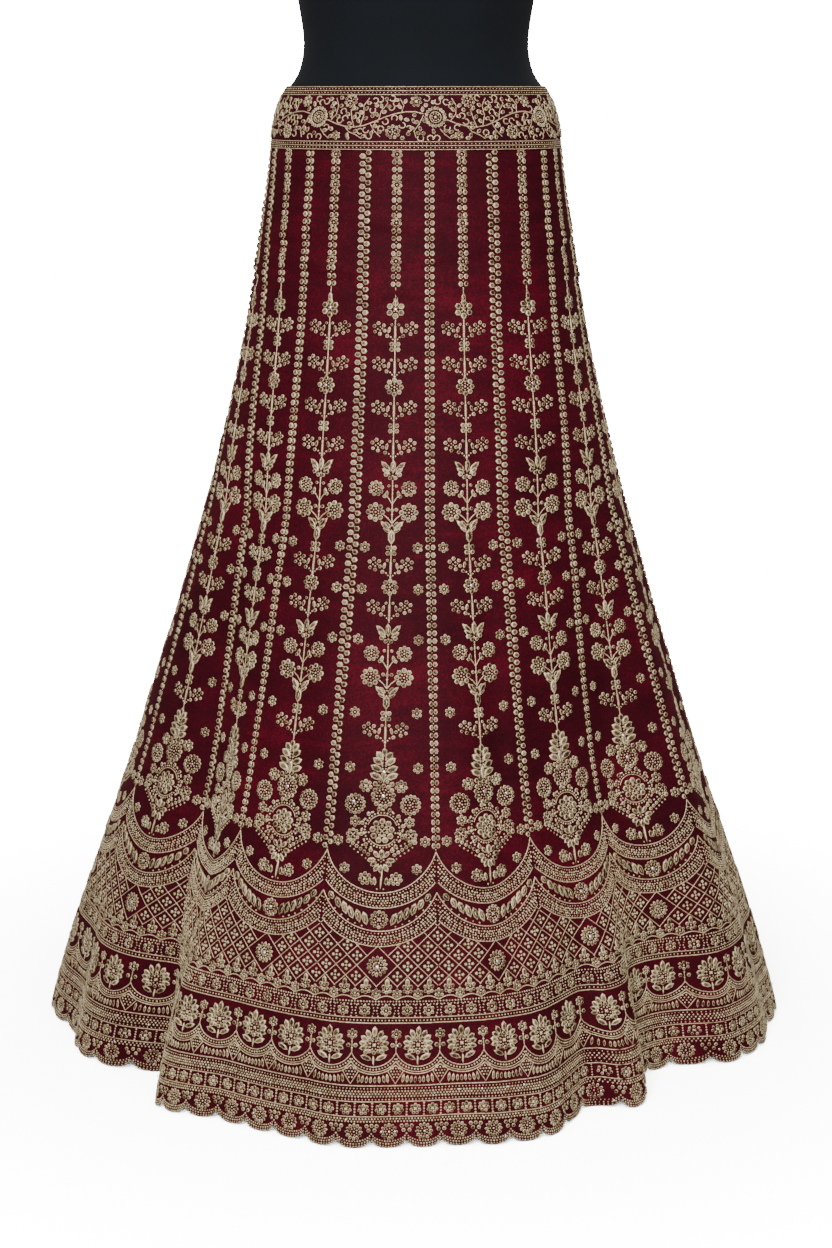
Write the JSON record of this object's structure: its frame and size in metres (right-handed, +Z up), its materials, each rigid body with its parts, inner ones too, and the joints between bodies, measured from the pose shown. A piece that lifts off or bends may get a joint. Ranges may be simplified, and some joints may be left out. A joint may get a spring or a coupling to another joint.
{
  "type": "lehenga skirt on a limbless dress form",
  "caption": "flared floor-length skirt of joined velvet panels with a shaped waistband and a scalloped hem, all over gold embroidered, standing on a limbless dress form with a round base",
  "frame": {"origin": "middle of the part's foot, on the floor under the base", "axes": "+Z up, the front of the skirt faces -Y, +X to the right of the front view"},
  "size_m": [0.8526, 0.7617, 1.5903],
  "materials": {
    "velvet": "silk velvet with metal thread embroidery",
    "band": "silk velvet, densely embroidered",
    "jersey": "matt knitted cover",
    "wood": "dark satin",
    "steel": "satin black"
  },
  "bodies": {
    "root": {"kali_01": "velvet", "kali_02": "velvet", "kali_03": "velvet", "kali_04": "velvet", "kali_05": "velvet", "kali_06": "velvet", "kali_07": "velvet", "kali_08": "velvet", "kali_09": "velvet", "kali_10": "velvet", "kali_11": "velvet", "kali_12": "velvet", "kali_13": "velvet", "kali_14": "velvet", "kali_15": "velvet", "kali_16": "velvet", "waistband_front": "band", "waistband_back": "band", "form_torso": "jersey", "form_neck_cap": "wood", "form_pole": "steel", "form_base": "steel"}
  },
  "joints": []
}
